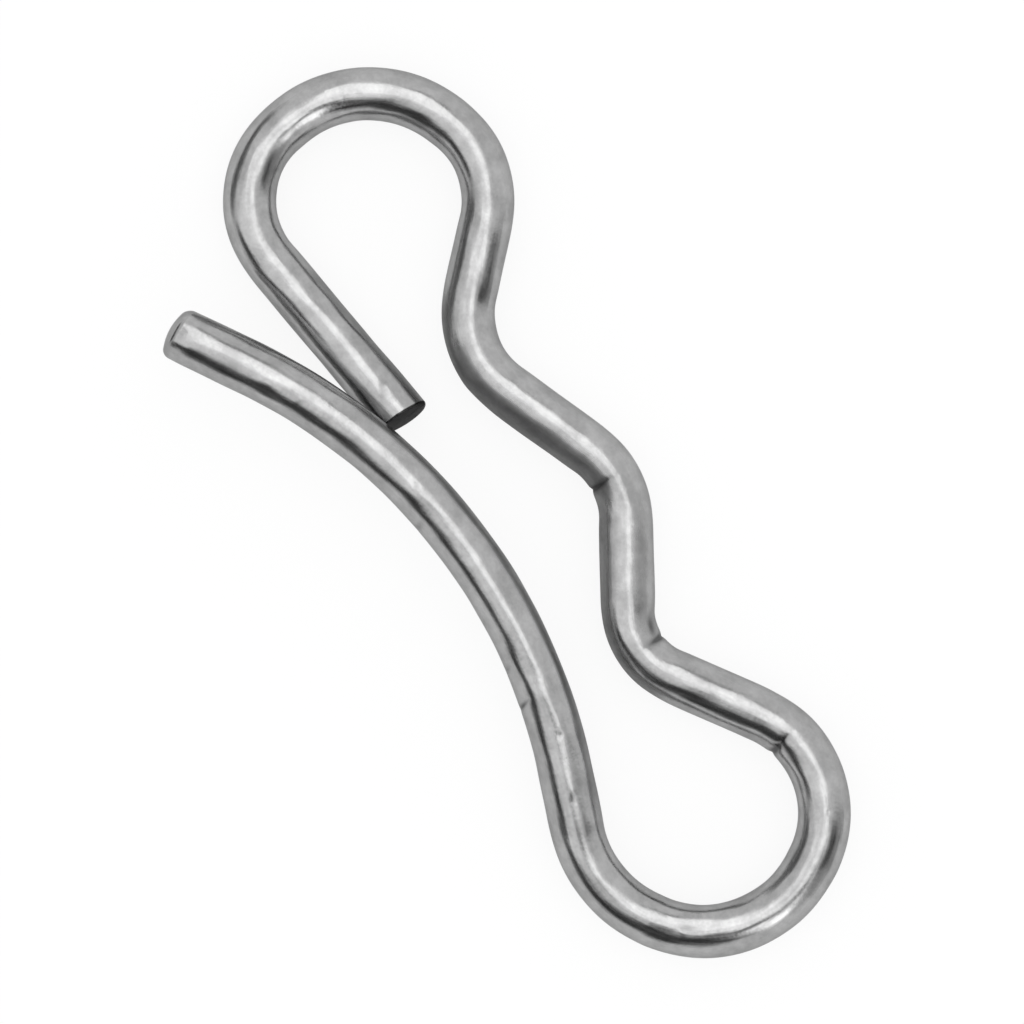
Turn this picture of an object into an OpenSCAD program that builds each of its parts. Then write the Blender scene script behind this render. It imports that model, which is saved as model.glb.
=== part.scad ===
// Bow-tie locking cotter pin: one length of round wire, bent the way a wire former bends it.
// Each stroke of the former feeds a straight length, may roll the wire about its own axis,
// and turns one bend. The strokes run from the cut end of the tail round to the free leg.
// +X runs from the bow to the open mouth, and +Z is up from the flat that the clip lies on.

/* [Wire] */
// Diameter of the wire
wire_d = 2; // [1.6:0.1:2.2]
// Share of the diameter that the wire would lose in a bend whose radius is its diameter
bend_stretch = 0.05; // [0.045:0.005:0.08]
// Straight left between two strokes that follow each other round a loop
land = 0.2; // [0.2:0.1:0.6]

/* [Tail loop] */
// Length of the straight tail, from the middle of its cut end
tail_len = 7.55; // [6:0.05:8.5]
// Turn of the loop's bend next to the tail, in degrees
tail_loop_in_turn = 88.5; // [84:0.5:92]
// Centreline radius of that bend
tail_loop_in_r = 3.5; // [3:0.1:4.2]
// Turn of the loop's crown
tail_loop_crown_turn = 79; // [75:0.5:83]
// Centreline radius of the crown
tail_loop_crown_r = 4.6; // [4:0.1:5.4]
// Turn of the loop's bend next to the waved leg
tail_loop_out_turn = 65; // [61:0.5:68]
// Centreline radius of that bend
tail_loop_out_r = 3.6; // [3:0.1:4.4]

/* [Waved leg] */
// Straight from the tail loop to the hip, the wave's first bend
neck_len = 2.7; // [2.2:0.1:3.2]
// Turn of the hip
hip_turn = 66.5; // [64:0.5:69]
// Centreline radius of the hip
hip_r = 3.4; // [2.8:0.1:4]
// Straight from the hip to the seat, the hump that lies against the held shaft
hip_to_seat_len = 3.8; // [3.2:0.1:4.5]
// Turn of the seat
seat_turn = 53; // [50:0.5:56]
// Centreline radius of the seat
seat_r = 3.2; // [2.7:0.1:3.8]
// Straight from the seat to the waist, the wave's narrowest place
seat_to_waist_len = 3.3; // [2.8:0.1:3.9]
// Turn of the waist
waist_turn = 65; // [62:0.5:68]
// Centreline radius of the waist
waist_r = 2.7; // [2.3:0.1:3.2]
// Straight from the waist to the bow
waist_to_bow_len = 3.6; // [3:0.1:4.3]

/* [Bow] */
// Turn of the bow's bend next to the waved leg
bow_in_turn = 92; // [88:0.5:95]
// Centreline radius of that bend
bow_in_r = 3.9; // [3.3:0.1:4.6]
// Turn of the bow's crown
bow_crown_turn = 87.5; // [84:0.5:91]
// Centreline radius of the crown
bow_crown_r = 4.4; // [3.8:0.1:5.2]
// Turn of the bow's bend next to the free leg
bow_out_turn = 55; // [52:0.5:58]
// Centreline radius of that bend
bow_out_r = 4.6; // [4:0.1:5.4]

/* [Free leg] */
// Straight from the bow to the leg's long curve
leg_start_len = 2.3; // [1.8:0.1:2.8]
// Turn of the long curve
leg_turn = 52.5; // [49:0.5:54]
// Centreline radius of the long curve
leg_r = 21; // [19:0.5:23]
// Straight at the leg's end, to the middle of its cut
leg_end_len = 3.1; // [2.5:0.1:5]
// Gap between the sprung leg and the tail that it lies across
leg_gap = 0.03; // [0.02:0.01:0.5]

/* [Marks of the tools] */
// Slant of the tail's sheared end, in degrees, with its top edge set back
tail_cut_slant = 12; // [0:1:20]
// Swing of that end in plan, with the edge on the leg's side set back
tail_cut_swing = 7; // [0:1:15]
// Slant of the leg's sheared end
leg_cut_slant = 19.5; // [0:0.5:25]
// Swing of that end in plan, with its outer edge set back
leg_cut_swing = 3; // [0:1:15]
// How far back from the middle of a cut its rim is rounded
end_round = 0.07; // [0.05:0.01:0.2]
// Radius of that rounding beyond the wire's own
end_round_over = 0.25; // [0.15:0.05:0.5]
// Depth of the crease that a pin of the former leaves inside a bend
crease_depth = 0.09; // [0.04:0.01:0.12]
// Width of a crease where it opens on the surface
crease_w = 0.26; // [0.15:0.01:0.4]

/* [Hidden] */
$fn = 96;

wire_r = wire_d / 2;

// Columns of a stroke
FEED = 0;
ROLL = 1;
TURN = 2;
RADIUS = 3;
CREASE = 4;

// A stroke: feed, then roll, then turn, to the left if positive, at a centreline radius.
// A crease is given by how far round the bend it lies, in degrees.
function stroke(feed, turn = 0, radius = 0, roll = 0, crease = 0) =
  [feed, roll, turn, radius, crease];

// Place in the list below of the crown of the tail loop, of the bow's and of the leg's curve
TAIL_CROWN = 1;
BOW_CROWN = 7;
LEG_CURVE = 9;

// The whole clip, with the leg's roll left open
function program(leg_roll) = [
  stroke(tail_len, -tail_loop_in_turn, tail_loop_in_r),
  stroke(land, -tail_loop_crown_turn, tail_loop_crown_r),
  stroke(land, -tail_loop_out_turn, tail_loop_out_r),
  stroke(neck_len, hip_turn, hip_r),
  stroke(hip_to_seat_len, -seat_turn, seat_r, crease = 24),
  stroke(seat_to_waist_len, waist_turn, waist_r, crease = 34),
  stroke(waist_to_bow_len, -bow_in_turn, bow_in_r, crease = 18),
  stroke(land, -bow_crown_turn, bow_crown_r),
  stroke(land, -bow_out_turn, bow_out_r, roll = leg_roll),
  stroke(leg_start_len, leg_turn, leg_r),
  stroke(leg_end_len),
];

// Moves along the wire, about it, and round a bend in its own plane
function fed(x) = [[1, 0, 0, x], [0, 1, 0, 0], [0, 0, 1, 0], [0, 0, 0, 1]];
function rolled(a) =
  [[1, 0, 0, 0], [0, cos(a), -sin(a), 0], [0, sin(a), cos(a), 0], [0, 0, 0, 1]];
function turned(a, r) = [
  [cos(a), -sin(a), 0, r * sin(abs(a))],
  [sin(a), cos(a), 0, sign(a) * r * (1 - cos(a))],
  [0, 0, 1, 0],
  [0, 0, 0, 1],
];

// Pose at which a stroke's bend begins, and at which it ends
function bend_pose(pose, s) = pose * fed(s[FEED]) * rolled(s[ROLL]);
function end_pose(pose, s) = bend_pose(pose, s) * turned(s[TURN], s[RADIUS]);

// Pose at which each stroke of a program begins
function poses(strokes, start) = [
  for (i = 0, pose = start; i < len(strokes); pose = end_pose(pose, strokes[i]), i = i + 1) pose
];

// A point given in a pose, and the middle of a stroke's bend
function at(pose, p) = let (q = pose * [p.x, p.y, p.z, 1]) [q.x, q.y, q.z];
function bend_middle(strokes, starts, i) =
  at(bend_pose(starts[i], strokes[i]), [0, sign(strokes[i][TURN]) * strokes[i][RADIUS], 0]);

// The flat clip, before its leg is rolled up out of the plane of the rest
LEVEL = fed(0);
flat = program(0);
flat_poses = poses(flat, LEVEL);

// The leg is rolled about the line at which its bow comes out of the crown. Seen from there,
// the tail's tip and the middle of the leg's long curve lie this far along the line and across it.
roll_pose = flat_poses[BOW_CROWN + 1];
function seen(p) =
  let (d = p - [roll_pose[0][3], roll_pose[1][3], 0])
  [d * [roll_pose[0][0], roll_pose[1][0], 0], d * [roll_pose[0][1], roll_pose[1][1], 0]];
tip = seen([0, 0, 0]);
curve_middle = seen(bend_middle(flat, flat_poses, LEG_CURVE));

// How far the rolled leg passes the tip in its own plane, and how high its plane must then be
function passing(roll) = max(0, norm([tip.x, tip.y * cos(roll)] - curve_middle) - leg_r);
function lift(roll) = sqrt(max(0, pow(wire_d + leg_gap, 2) - pow(passing(roll), 2)));
// Each round takes the roll nearer to the one that lays the leg just over the tip
function settled(roll, rounds) =
  rounds == 0 ? roll : settled(-asin(lift(roll) / abs(tip.y)), rounds - 1);
leg_roll = settled(0, 6);

// The line through the two crowns' middles lies along X
strokes = program(leg_roll);
axis = bend_middle(flat, flat_poses, TAIL_CROWN) - bend_middle(flat, flat_poses, BOW_CROWN);
swing = -atan2(axis.y, axis.x);
swung = [
  [cos(swing), -sin(swing), 0, 0],
  [sin(swing), cos(swing), 0, 0],
  [0, 0, 1, wire_r],
  [0, 0, 0, 1],
];

// Points along the centreline, to set the clip over the origin by its outline
PARTS = 12;
swung_poses = poses(strokes, swung);
line = [
  for (i = [0:len(strokes) - 1])
    for (k = [0:PARTS])
      at(bend_pose(swung_poses[i], strokes[i]) * turned(strokes[i][TURN] * k / PARTS, strokes[i][RADIUS]),
         [0, 0, 0])
];
xs = [for (p = line) p.x];
ys = [for (p = line) p.y];
middle = [(min(xs) + max(xs)) / 2, (min(ys) + max(ys)) / 2, 0];

// A bend's ends sit this far inside the fuller straight lengths at either side
GRIP = 0.03;

// Straight length of full wire
module straight(feed) {
  rotate([0, 90, 0])
    cylinder(d = wire_d, h = feed);
}

// Straight length whose near end is sheared through the origin and rounded along its rim
module sheared(feed, slant, swing) {
  overhang = wire_r * (tan(slant) + tan(swing));
  ball_r = wire_r + end_round_over;
  ball_at = end_round + sqrt(pow(ball_r, 2) - pow(wire_r, 2));
  difference() {
    translate([-overhang, 0, 0])
      straight(feed + overhang);
    rotate([0, slant, swing])
      translate([-wire_d, -wire_d, -wire_d])
        cube([wire_d, 2 * wire_d, 2 * wire_d]);
    translate([ball_at, 0, 0])
      difference() {
        rotate([0, -90, 0])
          cylinder(r = ball_r + end_round_over, h = ball_r + wire_d);
        sphere(r = ball_r);
      }
  }
}

// Groove round the inner third of the wire, deepest on the inside of a left-hand bend
module crease() {
  set_over = 1.4 * crease_depth;
  bottom_r = wire_r - crease_depth + set_over;
  slope = crease_w / 2 / crease_depth;
  reach = 0.5;
  translate([0, -set_over, 0])
    rotate([0, 90, 0])
      rotate_extrude()
        polygon([
          [bottom_r, 0],
          [bottom_r + reach, slope * reach],
          [bottom_r + reach, -slope * reach],
        ]);
}

// Bend that starts at the origin along X, in the XY plane
module bend(turn, radius, crease_at) {
  thinned_d = wire_d * (1 - bend_stretch * wire_d / radius);
  grip = GRIP / radius * 180 / PI;
  mirror([0, turn < 0 ? 1 : 0, 0])
    translate([0, radius, 0])
      difference() {
        rotate(-90 - grip)
          rotate_extrude(angle = abs(turn) + 2 * grip)
            translate([radius, 0])
              circle(d = thinned_d);
        if (crease_at > 0)
          rotate(crease_at)
            translate([0, -radius, 0])
              crease();
      }
}

// One stroke from its own pose: the straight, then the bend if it has one
module formed(i) {
  s = strokes[i];
  if (i == 0)
    sheared(s[FEED], tail_cut_slant, -tail_cut_swing);
  else if (i == len(strokes) - 1)
    translate([s[FEED], 0, 0])
      mirror([1, 0, 0])
        sheared(s[FEED], leg_cut_slant, leg_cut_swing);
  else
    straight(s[FEED]);
  if (s[RADIUS] > 0)
    multmatrix(fed(s[FEED]) * rolled(s[ROLL]))
      bend(s[TURN], s[RADIUS], s[CREASE]);
}

module wire_clip() {
  color("silver")
    translate(-middle)
      for (i = [0:len(strokes) - 1])
        multmatrix(swung_poses[i])
          formed(i);
}

wire_clip();
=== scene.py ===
"""Looks of a bow-tie locking cotter pin bent from one length of zinc-plated wire.

The wire's surface is worked out here as the wire former makes it: a centreline with eased bends,
a thinned section in each bend, the tool's creases, nicks and burrs, and two sheared ends.
Lengths are in millimetres until a mesh is made, and angles that are written as numbers are in degrees.
A place on the wire is a distance from the tail's cut, and an angle round the wire that starts at its
left side and passes over its top.
"""

import math

import bpy
import numpy as np
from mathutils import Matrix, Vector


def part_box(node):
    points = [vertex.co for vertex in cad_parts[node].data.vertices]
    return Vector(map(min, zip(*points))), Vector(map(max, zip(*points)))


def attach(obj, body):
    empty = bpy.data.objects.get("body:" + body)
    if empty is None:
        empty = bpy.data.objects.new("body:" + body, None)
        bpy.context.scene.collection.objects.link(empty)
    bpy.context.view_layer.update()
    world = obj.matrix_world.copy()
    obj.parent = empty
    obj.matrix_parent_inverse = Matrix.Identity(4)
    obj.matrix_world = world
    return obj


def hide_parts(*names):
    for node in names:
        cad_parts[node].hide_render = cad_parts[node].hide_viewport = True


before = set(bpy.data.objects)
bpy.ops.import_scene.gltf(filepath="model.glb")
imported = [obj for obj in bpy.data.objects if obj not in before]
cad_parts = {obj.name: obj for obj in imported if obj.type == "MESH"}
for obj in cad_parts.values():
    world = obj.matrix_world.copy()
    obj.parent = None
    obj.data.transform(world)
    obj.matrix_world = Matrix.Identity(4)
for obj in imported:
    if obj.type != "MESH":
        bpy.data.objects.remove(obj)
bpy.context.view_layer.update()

MM = 0.001
NODE = "wire_clip"

# ---- the wire and the former's program ----

WIRE_R = 1.0

# The straight between two bends of one loop.
LAND = 0.2

# In a bend the section thins by this share times the wire's diameter over the bend's radius.
BEND_STRETCH = 0.05

# Half width of the change from straight to bent.
EASE = 0.3

# Each bend: straight fed before it, turn to the left, centreline radius.
# The first straight starts at the tail's cut.
BENDS = {
    "tail_in": (7.55, -88.5, 3.5),
    "tail_crown": (LAND, -79.0, 4.6),
    "tail_out": (LAND, -65.0, 3.6),
    "hip": (2.7, 66.5, 3.4),
    "seat": (3.8, -53.0, 3.2),
    "waist": (3.3, 65.0, 2.7),
    "bow_in": (3.6, -92.0, 3.9),
    "bow_crown": (LAND, -87.5, 4.4),
    "bow_out": (LAND, -55.0, 4.6),
    "leg": (2.3, 52.5, 21.0),
}

# The straight past the last bend, to the tip of the leg's domed end.
LEG_END_LEN = 3.38

# How far the leg is turned about the wire where the bow's last bend starts, so that it climbs over the tail.
LEG_ROLL = -6.569

# The sheared ends: how far the face slants back at its top, how far it swings round in plan, the radius of
# its rolled rim on the wire's left, top, right and bottom, and how far its middle stands out.
TAIL_CUT = {"slant": 12.0, "swing": -7.0, "rim": (0.07, 0.08, 0.15, 0.10), "dome": 0.02}
LEG_CUT = {"slant": 0.5, "swing": 3.0, "rim": (0.22, 0.13, 0.28, 0.14), "dome": 0.23}

# How dark a cut face is painted, from 0 to 1: bare steel, and on the tail's cut mostly painted shade.
TAIL_CUT_STEEL_AND_SHADE = 1.0
LEG_CUT_STEEL_AND_SHADE = 0.1

# ---- marks on the wire ----

# Creases that the former's pins press into the inside of a bend:
# bend, degrees into it, depth, half length, degrees up from the inside, half reach round the wire in degrees.
CREASES = [
    ("bow_in", 18.0, 0.09, 0.15, 26.0, 46.0),
    ("waist", 34.0, 0.09, 0.17, 24.0, 44.0),
    ("seat", 24.0, 0.10, 0.15, 24.0, 46.0),
]

# Power of a crease's fall along the wire: 1 gives a sharp V and 2 a round bell.
CREASE_PEAK = 1.4

# Nicks and dents: distance along, degrees round, depth (a raised burr is negative), half length,
# half reach in degrees, lean in millimetres along the wire for each radian round it.
NICKS = [
    (1.30, 95.0, 0.020, 0.22, 18.0, 0.6),
    (14.95, 62.0, -0.006, 0.10, 9.0, 0.0),
    (15.55, 98.0, 0.007, 0.09, 8.0, 0.1),
    (29.4, 150.0, -0.045, 0.35, 26.0, 0.0),
    (41.35, 38.0, 0.050, 0.55, 13.0, 0.9),
    (41.55, 22.0, -0.035, 0.30, 10.0, 0.6),
    (51.62, 84.0, 0.018, 0.12, 5.0, 0.6),
    (59.40, 86.0, -0.018, 0.14, 6.0, 0.9),
    (59.15, 96.0, 0.020, 0.30, 7.0, 0.0),
    (66.15, 94.0, 0.009, 0.16, 5.0, 0.5),
    (66.55, 101.0, -0.015, 0.20, 5.0, 0.7),
    (68.60, 101.0, 0.016, 0.12, 4.0, 0.5),
    (70.00, 30.0, 0.055, 0.10, 24.0, 0.35),
    (71.50, 24.0, 0.020, 0.12, 16.0, 0.2),
    (77.95, 30.0, 0.020, 0.14, 18.0, 0.1),
    (79.15, 98.0, 0.014, 0.12, 7.0, 0.2),
    (84.52, 86.0, -0.014, 0.13, 7.0, 0.0),
    (85.70, 70.0, 0.012, 0.30, 9.0, 0.0),
]

# Where the shear pressed the leg's end down: distance back from the tip, then the other values of a nick.
# It stays bright.
LEG_SHOULDER = (0.15, 84.0, 0.17, 0.48, 55.0, 0.0)

# Painted shade: how fast a crease is painted wholly dark towards its bottom, and the depth at which a nick
# is.
CREASE_DARKENING = 1.7
DARK_NICK_DEPTH = 0.05

# Patches of painted shade, for darker reflections, which are also rougher: from and to along the wire, fade
# at either end, middle and half reach in degrees round it, fade of the edge in degrees, and strength.
DULL_AND_SHADE_PATCHES = [
    (0.6, 5.5, 1.5, 162.0, 24.0, 10.0, 0.6),
    (27.4, 43.0, 1.2, 165.0, 34.0, 12.0, 0.8),
    (28.9, 35.7, 1.0, 165.0, 64.0, 14.0, 1.0),
    (37.4, 40.8, 1.2, 58.0, 26.0, 22.0, 0.4),
    (67.0, 80.5, 2.5, 162.0, 24.0, 10.0, 0.6),
]

# Slow waviness of the drawn and rolled surface:
# height, waves round the wire, length of a wave along it, start in radians.
WAVES = [
    (0.0055, 2, 9.7, 0.4),
    (0.0050, 3, 6.1, 2.1),
    (0.0035, 4, 4.3, 4.4),
    (0.0030, 5, 3.1, 1.2),
    (0.0022, 7, 2.3, 5.3),
    (0.0016, 9, 1.7, 3.0),
]

# ---- how finely the wire is drawn ----

# The step of the centreline, the sides of a ring, the usual distance between rings, and the number of
# places at which their density is worked out.
LINE_STEP = 0.01
SIDES = 72
RING_STEP = 0.088
RING_SAMPLES = 40001

# How much closer the rings crowd at a crease and a nick, and over how many of its half lengths.
CREASE_CROWD = 1.8
CREASE_CROWD_REACH = 2.5
NICK_CROWD = 0.7
NICK_CROWD_REACH = 2.0

# How much closer they crowd at the ends, and the distance in which that dies away.
END_CROWD = 1.2
END_CROWD_REACH = 0.5

# The distance from an end in which the rings lean over to the slant of its cut.
LEAN_REACH = 1.6

# Radii of the rings on a cut face, as shares of the wire's: close together where the rim rolls over.
FACE_SHARES = np.array([0.997, 0.988, 0.972, 0.95, 0.915, 0.87, 0.81, 0.74, 0.66, 0.54, 0.4, 0.25, 0.12])


def smooth(low, high, x):
    """0 below low, 1 above high, and 3t^2 - 2t^3 of the share t of the way between them."""
    t = np.clip((x - low) / (high - low), 0, 1)
    return t * t * (3 - 2 * t)


def bell(x):
    """e to the power -x^2."""
    return np.exp(-(x**2))


def angle_off(angle, middle):
    """How far angles lie from a middle one, in radians from -pi to pi.

    It is the phase of e to the power i times their difference.
    """
    return np.angle(np.exp(1j * (angle - middle)))


def integral(values, step):
    """Running sum of values by the trapezium rule, starting at 0."""
    return np.concatenate([[0], np.cumsum((values[1:] + values[:-1]) / 2) * step])


# ---- the centreline ----


def bend_starts():
    """Distance along the wire at which each bend starts, and the wire's whole length."""
    starts = {}
    at = 0.0
    for bend, (feed, turn, radius) in BENDS.items():
        at += feed
        starts[bend] = at
        at += math.radians(abs(turn)) * radius
    return starts, at + LEG_END_LEN


BEND_STARTS, WIRE_LEN = bend_starts()


def along(bend, angle):
    """Distance along the wire of the place that lies angle degrees into a bend."""
    return BEND_STARTS[bend] + math.radians(angle) * BENDS[bend][2]


def curvature(s):
    """Signed 1/radius at distances s.

    Each bend adds its own, times half the difference of two hyperbolic tangents, which is a step up at the
    bend's start and a step down at its end, both softened over EASE.
    """
    total = np.zeros_like(s)
    for bend, (_, turn, radius) in BENDS.items():
        start = along(bend, 0)
        end = along(bend, abs(turn))
        inside = 0.5 * (np.tanh((s - start) / EASE) - np.tanh((s - end) / EASE))
        total += math.copysign(1 / radius, turn) * inside
    return total


def wire_line():
    """Distances, curvature, centre points, tangents, left sides and the way up of the wire, every LINE_STEP.

    The heading is the integral of the curvature, and the place is the integral of the heading's cosine and
    sine. The wire is then turned in plan until the centres of its two crowns are level. The line past the
    start of the bow's last bend is turned about the tangent there by the leg's roll, which lifts the leg
    over the tail.
    """
    n = int(round(WIRE_LEN / LINE_STEP)) + 1
    s = np.linspace(0, WIRE_LEN, n)
    step = s[1] - s[0]
    curve = curvature(s)
    heading = integral(curve, step)

    def crown_centre(bend):
        """Centre of a bend's circle: the place halfway round the bend plus its radius to the inside."""
        _, turn, radius = BENDS[bend]
        k = int(np.searchsorted(s, along(bend, abs(turn) / 2)))
        place = np.array([integral(np.cos(heading), step)[k], integral(np.sin(heading), step)[k]])
        side = np.array([-math.sin(heading[k]), math.cos(heading[k])])
        return place + math.copysign(radius, turn) * side

    across = crown_centre("tail_crown") - crown_centre("bow_crown")
    heading = heading - math.atan2(across[1], across[0])
    flat = np.zeros(n)
    point = np.stack([integral(np.cos(heading), step), integral(np.sin(heading), step), flat], 1)
    tangent = np.stack([np.cos(heading), np.sin(heading), flat], 1)
    left = np.stack([-np.sin(heading), np.cos(heading), flat], 1)
    up = np.tile([0.0, 0.0, 1.0], (n, 1))

    pivot = int(np.searchsorted(s, BEND_STARTS["bow_out"]))
    axis = tangent[pivot]
    turn = math.radians(LEG_ROLL)

    def rolled(v):
        """v turned about the axis: its part along it plus cos times the rest plus sin times axis cross v."""
        along_axis = (v @ axis)[:, None] * axis
        return along_axis + math.cos(turn) * (v - along_axis) + math.sin(turn) * np.cross(axis, v)

    past = slice(pivot, None)
    point[past] = point[pivot] + rolled(point[past] - point[pivot])
    for vectors in (tangent, left, up):
        vectors[past] = rolled(vectors[past])
    return s, curve, point, tangent, left, up


# ---- the surface ----


def ring_places():
    """Distances of the rings along the wire, at even steps of the running sum of their density.

    The density is 1 over RING_STEP, times 1 plus a bell at each crease and nick and an exponential fall
    away from each end.
    """
    s = np.linspace(0, WIRE_LEN, RING_SAMPLES)
    density = np.ones_like(s)
    for bend, angle, _, half, _, _ in CREASES:
        density += CREASE_CROWD * bell((s - along(bend, angle)) / (CREASE_CROWD_REACH * half))
    for place, _, _, half, _, _ in NICKS:
        density += NICK_CROWD * bell((s - place) / (NICK_CROWD_REACH * half))
    density += END_CROWD * (np.exp(-s / END_CROWD_REACH) + np.exp(-(WIRE_LEN - s) / END_CROWD_REACH))
    count = integral(density / RING_STEP, s[1] - s[0])
    rings = int(count[-1])
    return np.interp(np.linspace(0, count[-1], rings + 1), count, s)


def crease_shape(s, angle, crease):
    """1 at the bottom of a crease, falling as a peaked bell along the wire and as a bell round it."""
    bend, degrees, _, half, raised, reach = crease
    inside = math.radians(raised if BENDS[bend][1] > 0 else 180 - raised)
    lengthwise = np.exp(-np.abs((s - along(bend, degrees)) / half) ** CREASE_PEAK)
    return lengthwise * bell(angle_off(angle, inside) / math.radians(reach))


def nick_shape(s, angle, nick):
    """1 in the middle of a nick, falling as a bell along the wire and round it, about a line that leans."""
    place, degrees, _, half, reach, lean = nick
    off = angle_off(angle, math.radians(degrees))
    return bell((s - place - lean * off) / half) * bell(off / math.radians(reach))


def dullness_and_shade(s, angle):
    """Painted shade and roughness of the patches: the greatest of them, each its strength times its fades
    both ways.
    """
    dull_and_shade = np.zeros_like(s)
    # Painted shade: each patch darkens the tone where the reflections lie darker, and roughens it.
    for start, end, fade, middle, half, edge, strength in DULL_AND_SHADE_PATCHES:
        off = np.degrees(np.abs(angle_off(angle, math.radians(middle))))
        lengthwise = smooth(start - fade, start, s) * (1 - smooth(end, end + fade, s))
        dull_and_shade = np.maximum(dull_and_shade, strength * lengthwise * (1 - smooth(half - edge, half, off)))
    return dull_and_shade


def section_radius(s, angle, curve):
    """Radius of the wire at distance s and angle round it, and the painted shade there, from 0 to 1.

    The radius is the wire's, less the stretch in a bend, plus the cosines of the slow waves, less the
    depth times the shape of the leg's pressed shoulder, of each crease and of each nick.
    """
    radius = WIRE_R * (1 - BEND_STRETCH * 2 * WIRE_R * np.abs(curve))
    for height, round_waves, length, start in WAVES:
        radius = radius + height * np.cos(round_waves * angle + 2 * math.pi * s / length + start)
    back, *shoulder = LEG_SHOULDER
    shoulder = (WIRE_LEN - back, *shoulder)
    radius = radius - shoulder[2] * nick_shape(s, angle, shoulder)
    # Painted shade: the bottoms of creases and dents are darkened.
    groove_shade = np.zeros_like(s)
    for crease in CREASES:
        shape = crease_shape(s, angle, crease)
        radius = radius - crease[2] * shape
        groove_shade = np.maximum(groove_shade, np.minimum(1, CREASE_DARKENING * shape))
    for nick in NICKS:
        shape = nick_shape(s, angle, nick)
        radius = radius - nick[2] * shape
        groove_shade = np.maximum(groove_shade, shape * min(1.0, max(0.0, nick[2]) / DARK_NICK_DEPTH))
    return radius, groove_shade


def cut_depth(share, angle, slant, swing, rim, dome):
    """How far a cut face lies inside the wire's nominal end, at a share of its radius and an angle round it.

    It is a plane, slanted back at the top and swung to one side, plus dome times the share squared, plus a
    quarter circle that rolls its rim over. The quarter circle's radius is a mean of the four sides' radii,
    weighted by the squares of sine and cosine.
    """
    y = np.cos(angle)
    z = np.sin(angle)
    slant = math.radians(slant)
    swing = math.radians(swing)
    plane = WIRE_R * share * (z * math.tan(slant) / math.cos(swing) - y * math.tan(swing))
    at_left, at_top, at_right, at_bottom = rim
    radius = np.where(y > 0, at_left, at_right) * y**2 + np.where(z > 0, at_top, at_bottom) * z**2
    over = np.clip(WIRE_R * share - (WIRE_R - radius), 0, radius)
    return plane + dome * share**2 + radius - np.sqrt(radius**2 - over**2)


def wire_surface():
    """Vertices as a grid of rings, the two poles that close it, and each vertex's place and marks.

    A vertex is centre + radius (cos a left + sin a up). Near an end the rings lean over to the slant of
    the cut, and past it they close on the pole over the cut face.
    """
    s, curve, point, tangent, left, up = wire_line()
    rings = ring_places()
    angle = np.arange(SIDES) * 2 * math.pi / SIDES

    reach = np.tile(rings[:, None], (1, SIDES))
    reach += cut_depth(1.0, angle, **TAIL_CUT) * (1 - smooth(0, LEAN_REACH, rings))[:, None]
    reach -= cut_depth(1.0, angle, **LEG_CUT) * (1 - smooth(0, LEAN_REACH, WIRE_LEN - rings))[:, None]
    tail_face = np.stack([cut_depth(ring, angle, **TAIL_CUT) for ring in FACE_SHARES[::-1]])
    leg_face = WIRE_LEN - np.stack([cut_depth(ring, angle, **LEG_CUT) for ring in FACE_SHARES])
    face_share = np.tile(FACE_SHARES[:, None], (1, SIDES))
    share = np.concatenate([face_share[::-1], np.ones_like(reach), face_share])
    reach = np.concatenate([tail_face, reach, leg_face])

    def at(values):
        """Vectors of the centreline at each vertex's distance."""
        return np.stack([np.interp(reach, s, values[:, k]) for k in range(3)], -1)

    # the leg's sections keep facing as they did before the roll
    facing = angle - np.where(reach >= BEND_STARTS["bow_out"], math.radians(LEG_ROLL), 0)
    radius, groove_shade = section_radius(reach, facing, np.interp(reach, s, curve))
    beyond = reach - np.clip(reach, 0, WIRE_LEN)
    outward = np.cos(facing)[..., None] * at(left) + np.sin(facing)[..., None] * at(up)
    surface = at(point) + beyond[..., None] * at(tangent) + (radius * share)[..., None] * outward

    poles = []
    for place, cut, sign in ((0.0, TAIL_CUT, 1), (WIRE_LEN, LEG_CUT, -1)):
        deep = place + sign * float(cut_depth(0.0, 0.0, **cut))
        poles.append([np.interp(deep, s, point[:, k]) for k in range(3)])
    return surface, np.array(poles), reach, share, groove_shade, dullness_and_shade(reach, facing)


def on_the_frame(vertices):
    """Vertices moved until their box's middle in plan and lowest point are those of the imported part."""
    low, high = (np.array(corner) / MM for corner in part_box(NODE))
    shift = (low + high) / 2 - (vertices.min(0) + vertices.max(0)) / 2
    shift[2] = low[2] - vertices[:, 2].min()
    return vertices + shift


def grid_quads(rows, columns, closed=False):
    """The corners of the quads of a grid of points, which are counted row by row.

    Point (i, j) has number i times columns plus j. A closed grid has its last column joined to its first.
    """
    across = columns if closed else columns - 1
    i, j = np.meshgrid(np.arange(rows - 1), np.arange(across), indexing="ij")
    k = (j + 1) % columns
    corners = [i * columns + j, i * columns + k, (i + 1) * columns + k, (i + 1) * columns + j]
    return np.stack(corners, -1).reshape(-1, 4)


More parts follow.
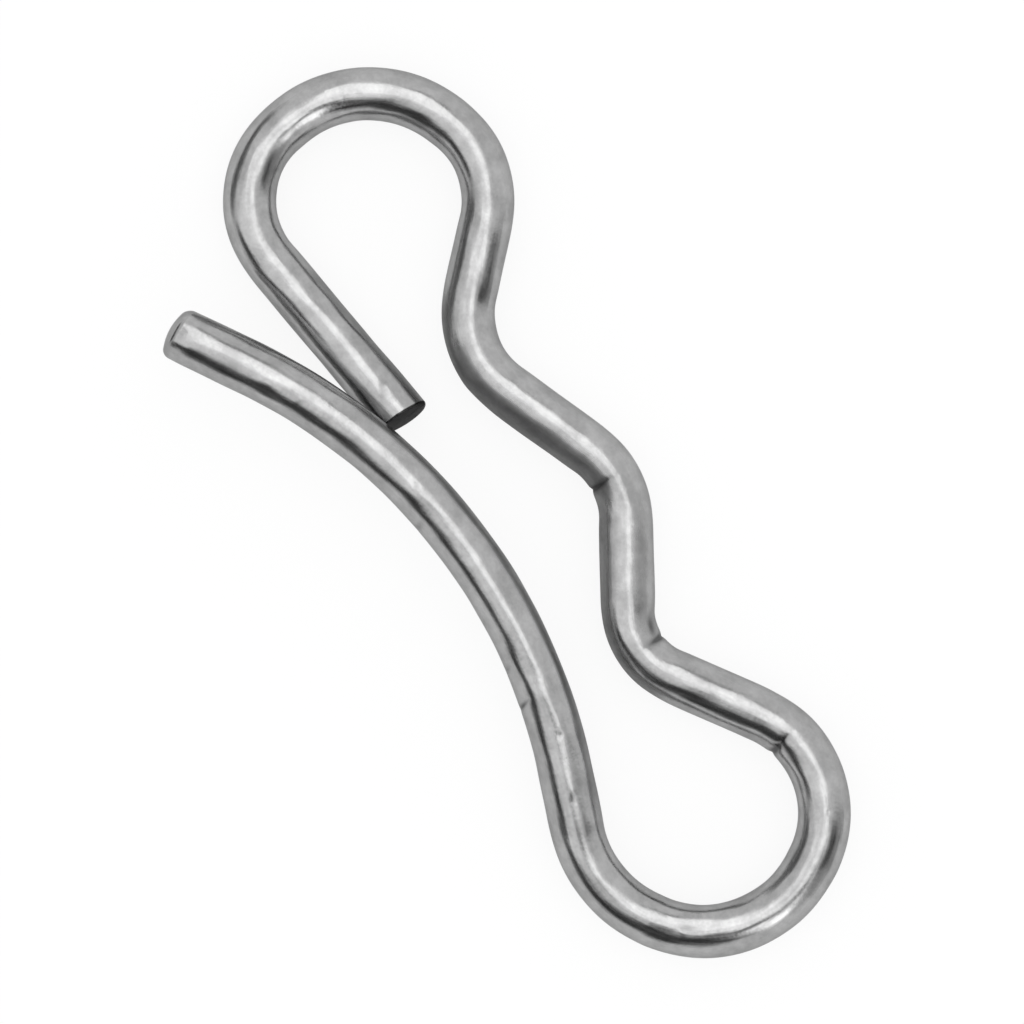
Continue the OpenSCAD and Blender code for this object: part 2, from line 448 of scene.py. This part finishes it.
def wire_wrap(reach, share):
    """UV of each corner: a wrap in millimetres, round the wire and along it.

    Along the wire it is the distance, and on a cut face the rest of the radius is added past the end.
    """
    rows = len(reach)
    outward = np.where(np.arange(rows) < rows / 2, 1, -1)[:, None]
    lengthwise = reach - (1 - share) * WIRE_R * outward
    lengthwise = np.concatenate([lengthwise, lengthwise[:, :1]], 1)
    side = 2 * math.pi * WIRE_R / SIDES
    around = np.tile(np.arange(SIDES + 1) * side, (rows, 1))
    wrap = np.stack([around, lengthwise], -1)
    on_quads = wrap.reshape(-1, 2)[grid_quads(rows, SIDES + 1)]

    tail_pole = np.stack([around[0, :-1] + side / 2, np.full(SIDES, -WIRE_R)], -1)
    leg_pole = np.stack([around[0, :-1] + side / 2, np.full(SIDES, WIRE_LEN + WIRE_R)], -1)
    on_tail_fan = np.stack([tail_pole, wrap[0, 1:], wrap[0, :-1]], 1)
    on_leg_fan = np.stack([leg_pole, wrap[-1, :-1], wrap[-1, 1:]], 1)
    return np.concatenate([part.reshape(-1, 2) for part in (on_quads, on_tail_fan, on_leg_fan)])


def mesh_piece(name, vertices, faces, corner_uv, marks):
    """A smooth mesh object at the origin, from vertices in millimetres, with a UV map and vertex marks."""
    mesh = bpy.data.meshes.new(name)
    mesh.from_pydata(vertices * MM, [], faces)
    mesh.uv_layers.new(name="wire_wrap").data.foreach_set("uv", corner_uv.astype(np.float32).ravel())
    for key, values in marks.items():
        mesh.attributes.new(key, "FLOAT", "POINT").data.foreach_set("value", values.astype(np.float32))
    mesh.shade_smooth()
    mesh.validate()
    piece = bpy.data.objects.new(name, mesh)
    bpy.context.scene.collection.objects.link(piece)
    return piece


def build_wire():
    """The wire as one closed mesh: quads between its rings, and a fan of triangles round each end's pole."""
    surface, poles, reach, share, groove_shade, dull_and_shade = wire_surface()
    rows = len(surface)
    vertices = np.concatenate([surface.reshape(-1, 3), poles])
    quads = grid_quads(rows, SIDES, closed=True)
    j = np.arange(SIDES)
    k = (j + 1) % SIDES
    last = (rows - 1) * SIDES
    tail_fan = np.stack([np.full(SIDES, rows * SIDES), k, j], 1)
    leg_fan = np.stack([np.full(SIDES, rows * SIDES + 1), last + j, last + k], 1)
    faces = quads.tolist() + tail_fan.tolist() + leg_fan.tolist()

    # Cut faces painted darker: bare steel, and on the tail's cut painted shade.
    cut_steel_and_shade = np.where(np.arange(rows) < rows / 2, TAIL_CUT_STEEL_AND_SHADE, LEG_CUT_STEEL_AND_SHADE)[:, None]
    sheared = np.where(share < 1, cut_steel_and_shade, 0.0)
    marks = {
        "sheared": np.concatenate([sheared.ravel(), [TAIL_CUT_STEEL_AND_SHADE, LEG_CUT_STEEL_AND_SHADE]]),
        "groove_shade": np.concatenate([groove_shade.ravel(), [0.0, 0.0]]),
        "dull_and_shade": np.concatenate([dull_and_shade.ravel(), [0.0, 0.0]]),
    }
    return mesh_piece("zinc_wire_pin", on_the_frame(vertices), faces, wire_wrap(reach, share), marks)


# ---- the plating ----

# Streaks to a millimetre round the wire and along it, and clouds and specks to a metre.
STREAKS = (9.0, 0.5, 1.0)
CLOUDS = 1100.0
SPECKS = 7000.0

# The plating's tone in its darkest and lightest clouds.
ZINC_TONE = (0.325, 0.44)

# What a mark leaves of the tone where it is full: painted shade, which on the cut faces is partly bare steel.
MARK_TONES = {"groove_shade": 0.3, "sheared": 0.16, "dull_and_shade": 0.57}

# How bright glancing reflections are on the plating and on a cut face, dimmed there partly as painted shade.
GLANCE = (0.7, 0.4)

# Roughness of the smoothest and roughest streaks, and what a patch of painted shade adds to it.
ZINC_ROUGHNESS = (0.14, 0.26)
PATCH_ROUGHNESS = 0.28


def node(tree, kind, place, **settings):
    """A new node of a tree, at a place on its sheet, with its inputs and its other settings given by name."""
    made = tree.nodes.new(kind)
    made.location = place
    for key, value in settings.items():
        if key in made.inputs:
            made.inputs[key].default_value = value
        else:
            setattr(made, key, value)
    return made


def new_finish(name):
    """A material with an empty tree."""
    finish = bpy.data.materials.new(name)
    finish.use_nodes = True
    finish.node_tree.nodes.clear()
    return finish, finish.node_tree


def show(tree, shader, place):
    """The tree's output, fed by a shader."""
    out = node(tree, "ShaderNodeOutputMaterial", place)
    tree.links.new(shader, out.inputs["Surface"])


def remap(tree, value, low_high, new_low_high, place):
    """A value carried in proportion from one range onto another, and held within it."""
    made = node(tree, "ShaderNodeMapRange", place)
    limits = (*low_high, *new_low_high)
    for key, limit in zip(("From Min", "From Max", "To Min", "To Max"), limits):
        made.inputs[key].default_value = limit
    tree.links.new(value, made.inputs["Value"])
    return made.outputs["Result"]


def maths(tree, operation, values, place):
    """The result of an operation on values, each of them a plain number or another node's output."""
    made = node(tree, "ShaderNodeMath", place, operation=operation)
    for socket, value in zip(made.inputs, values):
        if isinstance(value, float):
            socket.default_value = value
        else:
            tree.links.new(value, socket)
    return made.outputs[0]


def mixed(tree, share, first, second, place):
    """One shader blended into a second by a share."""
    mix = node(tree, "ShaderNodeMixShader", place)
    tree.links.new(share, mix.inputs["Fac"])
    tree.links.new(first, mix.inputs[1])
    tree.links.new(second, mix.inputs[2])
    return mix.outputs["Shader"]


def zinc_finish():
    """Bright zinc over drawn steel: a grey metal with streaks along the wire, cloudy patches and fine specks.

    Its tone is that of the clouds, times what each mark on the wire leaves of it, which is painted shade in
    the creases, dents and patches, and bare steel and painted shade on the cut faces. Its roughness is that
    of the streaks, plus the patch mark times what a patch adds.
    """
    finish, tree = new_finish("bright_zinc_on_drawn_wire")
    metal = node(tree, "ShaderNodeBsdfPrincipled", (600, 0), Metallic=1.0)
    show(tree, metal.outputs["BSDF"], (900, 0))

    wrap = node(tree, "ShaderNodeUVMap", (-1000, 200), uv_map="wire_wrap")
    stretched = node(tree, "ShaderNodeMapping", (-800, 200), Scale=STREAKS)
    streaks = node(tree, "ShaderNodeTexNoise", (-600, 200), Scale=1.0, Detail=5.0, Roughness=0.6)
    here = node(tree, "ShaderNodeTexCoord", (-800, -400))
    clouds = node(tree, "ShaderNodeTexNoise", (-600, -300), Scale=CLOUDS, Detail=5.0, Roughness=0.7)
    specks = node(tree, "ShaderNodeTexNoise", (-600, -600), Scale=SPECKS, Detail=3.0, Roughness=0.6)
    tree.links.new(wrap.outputs["UV"], stretched.inputs["Vector"])
    tree.links.new(stretched.outputs["Vector"], streaks.inputs["Vector"])
    tree.links.new(here.outputs["Object"], clouds.inputs["Vector"])
    tree.links.new(here.outputs["Object"], specks.inputs["Vector"])

    marks = {}
    tone = remap(tree, clouds.outputs["Fac"], (0.35, 0.65), ZINC_TONE, (-300, 300))
    # Painted shade: each mark darkens the tone where it lies.
    for row, (name, left_over) in enumerate(MARK_TONES.items()):
        height = 600 + 200 * row
        marks[name] = node(tree, "ShaderNodeAttribute", (-300, height), attribute_name=name).outputs["Fac"]
        darkening = remap(tree, marks[name], (0.0, 1.0), (1.0, left_over), (-100, height))
        tone = maths(tree, "MULTIPLY", (tone, darkening), (100, height))
    grey = node(tree, "ShaderNodeCombineColor", (300, 300))
    for channel in ("Red", "Green", "Blue"):
        tree.links.new(tone, grey.inputs[channel])
    tree.links.new(grey.outputs["Color"], metal.inputs["Base Color"])
    # Painted shade: the glancing reflections dim on the tail's cut face.
    glance = remap(tree, marks["sheared"], (0.0, 1.0), GLANCE, (300, 800))
    tree.links.new(glance, metal.inputs["Specular Tint"])

    drawn = remap(tree, streaks.outputs["Fac"], (0.3, 0.7), ZINC_ROUGHNESS, (-100, -100))
    rough = maths(tree, "MULTIPLY_ADD", (marks["dull_and_shade"], PATCH_ROUGHNESS, drawn), (100, -200))
    tree.links.new(rough, metal.inputs["Roughness"])

    lines = node(tree, "ShaderNodeBump", (300, -400), Strength=0.12, Distance=0.00003)
    pits = node(tree, "ShaderNodeBump", (450, -400), Strength=0.25, Distance=0.000012)
    tree.links.new(streaks.outputs["Fac"], lines.inputs["Height"])
    tree.links.new(specks.outputs["Fac"], pits.inputs["Height"])
    tree.links.new(lines.outputs["Normal"], pits.inputs["Normal"])
    tree.links.new(pits.outputs["Normal"], metal.inputs["Normal"])
    return finish


# ---- the studio: a white tent over pale paper, with its lamps, side sheets and dark cards ----

# The paper: half its side, its shade, the strength of the plain white in it, and the share of that white
# that the camera sees. Metal sees a part of that share, so that the wire's shadow shows in its own sides.
FLOOR_HALF = 1500.0
PAPER_SHADE = 0.93
PAPER_WHITE = 1.02
WHITE_SHARE = 0.86
WHITE_IN_METAL = 0.2

# Distance of the farthest sheet, how much nearer each later one hangs, and points along a sheet's side.
TENT_R = 600.0
SHEET_SPACING = 10.0
SHEET_POINTS = 49

# The farthest sheet first: each covers those before it. The values are name, lean of its middle from straight
# overhead to the view's right and to its top, half size across and away, share of it that fades, turn, level.
SHEETS = [
    ("far_grey_sheet", -69, 29, 17, 50, 0.5, 157, 0.15),
    ("right_grey_sheet", 66, -24, 45, 30, 0.7, 10, 0.42),
    ("right_dark_card", 50, -15, 24, 14, 0.6, 0, 0.10),
    ("side_sheet", -18, -4, 46, 20, 0.2, 34, 1.35),
    ("side_gap", -52, -30, 36, 16, 0.6, -41, 0.05),
    ("low_dark_card", -20, -50, 38, 27, 0.5, 0, 0.055),
    ("dark_card", 10, -32, 18, 25, 0.4, 0, 0.025),
    ("small_lamp", 22, -34, 19, 9, 0.5, -56, 3.0),
    ("lamp_frame", 18.5, 40, 5, 17, 0.5, 8, 0.08),
    ("left_lamp", -17, 9, 11, 9, 0.4, 0, 1.9),
    ("low_lamp", 11, -4.5, 13, 9.5, 0.3, 0, 2.1),
    ("overhead_lamp", 3, 25, 19, 24, 0.2, 8, 2.2),
]

# The view: its turn in plan, the width and the middle of what it takes in, its lens and its sensor.
VIEW_TURN = -119.455
VIEW_WIDTH = 37.58
VIEW_CENTRE = (0.4397, -1.0700)
VIEW_LENS = 350.0
VIEW_SENSOR = 36.0


def floor_finish():
    """Pale paper, nearly full white to the camera. The rest of it takes light and shadow.

    The share of plain white is WHITE_SHARE times the greatest of the camera ray, the transmission ray and
    WHITE_IN_METAL times the glossy ray, each of them 0 or 1.
    """
    finish, tree = new_finish("pale_floor_paper")
    shade = (PAPER_SHADE, PAPER_SHADE, PAPER_SHADE, 1)
    paper = node(tree, "ShaderNodeBsdfDiffuse", (0, 100), Color=shade)
    white = node(tree, "ShaderNodeEmission", (0, -100), Strength=PAPER_WHITE)
    ray = node(tree, "ShaderNodeLightPath", (-700, 300))
    in_metal = maths(tree, "MULTIPLY", (ray.outputs["Is Glossy Ray"], WHITE_IN_METAL), (-500, 200))
    seen = maths(tree, "MAXIMUM", (ray.outputs["Is Camera Ray"], in_metal), (-350, 300))
    seen = maths(tree, "MAXIMUM", (seen, ray.outputs["Is Transmission Ray"]), (-200, 300))
    share = maths(tree, "MULTIPLY", (seen, WHITE_SHARE), (-50, 300))
    floor = mixed(tree, share, paper.outputs["BSDF"], white.outputs["Emission"], (300, 0))
    show(tree, floor, (600, 0))
    return finish


def sheet_glow(name, level):
    """Plain light of one level, which fades to nothing where the sheet's fade does."""
    finish, tree = new_finish(name + "_glow")
    clear = node(tree, "ShaderNodeBsdfTransparent", (0, 100))
    shine = node(tree, "ShaderNodeEmission", (0, -100), Strength=level)
    fade = node(tree, "ShaderNodeAttribute", (0, 300), attribute_name="fade")
    sheet = mixed(tree, fade.outputs["Fac"], clear.outputs["BSDF"], shine.outputs["Emission"], (300, 0))
    show(tree, sheet, (600, 0))
    return finish


def tent_sheet(name, across, away, half_across, half_away, edge, turn, level, distance):
    """A sheet of the tent: a patch of a ball round the part, which only reflections see.

    A point (u, v) of its square, with u and v from -1 to 1, leans from straight overhead by the sheet's
    middle plus the turned (half_across u, half_away v), in degrees to the view's right and top. Its fade
    falls from 1 to 0 over the last share, edge, of the cube root of |u|^3 + |v|^3.
    """
    side = np.linspace(-1, 1, SHEET_POINTS)
    u, v = np.meshgrid(side, side, indexing="ij")
    turn = math.radians(turn)
    x = across + half_across * u * math.cos(turn) - half_away * v * math.sin(turn)
    y = away + half_across * u * math.sin(turn) + half_away * v * math.cos(turn)
    tilt = np.radians(np.hypot(x, y))
    azimuth = np.arctan2(y, x) + math.radians(VIEW_TURN)
    ball = np.stack([np.sin(tilt) * np.cos(azimuth), np.sin(tilt) * np.sin(azimuth), np.cos(tilt)], -1)
    quads = grid_quads(SHEET_POINTS, SHEET_POINTS)
    mesh = bpy.data.meshes.new(name)
    mesh.from_pydata(ball.reshape(-1, 3) * distance * MM, [], quads.tolist())
    corner = (np.abs(u) ** 3 + np.abs(v) ** 3) ** (1 / 3)
    fade = 1 - smooth(1 - edge, 1.0, corner)
    mesh.attributes.new("fade", "FLOAT", "POINT").data.foreach_set("value", fade.ravel().astype(np.float32))
    mesh.materials.append(sheet_glow(name, level))
    sheet = bpy.data.objects.new(name, mesh)
    bpy.context.scene.collection.objects.link(sheet)
    sheet.visible_camera = False
    sheet.visible_diffuse = False
    sheet.visible_shadow = False


def studio():
    """The white world, the pale floor and the sheets that hang over the part."""
    scene = bpy.context.scene
    scene.view_settings.view_transform = "Standard"
    world = bpy.data.worlds.new("white_tent")
    scene.world = world
    world.use_nodes = True
    world.node_tree.nodes["Background"].inputs["Color"].default_value = (1, 1, 1, 1)
    world.node_tree.nodes["Background"].inputs["Strength"].default_value = 1.0

    corners = np.array([[-1, -1, 0], [1, -1, 0], [1, 1, 0], [-1, 1, 0]])
    mesh = bpy.data.meshes.new("floor")
    mesh.from_pydata(corners * FLOOR_HALF * MM, [], [(0, 1, 2, 3)])
    mesh.materials.append(floor_finish())
    floor = bpy.data.objects.new("floor", mesh)
    scene.collection.objects.link(floor)

    for number, (name, *settings) in enumerate(SHEETS):
        tent_sheet(name, *settings, TENT_R - SHEET_SPACING * number)


def straight_down_view():
    """The camera looks straight down on the flat pin from far off, turned in plan to the way the pin lies.

    Its height over the wire's middle is the view's width times the lens over the sensor.
    """
    camera_data = bpy.data.cameras.new("camera")
    camera_data.lens = VIEW_LENS
    camera_data.sensor_width = VIEW_SENSOR
    camera_data.clip_start = 0.01
    camera = bpy.data.objects.new("camera", camera_data)
    bpy.context.scene.collection.objects.link(camera)
    height = VIEW_WIDTH * VIEW_LENS / VIEW_SENSOR + WIRE_R
    camera.location = (VIEW_CENTRE[0] * MM, VIEW_CENTRE[1] * MM, height * MM)
    camera.rotation_euler = (0, 0, math.radians(VIEW_TURN))
    bpy.context.scene.camera = camera


pin = build_wire()
pin.data.materials.append(zinc_finish())
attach(pin, "root")
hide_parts(NODE)

studio()
straight_down_view()
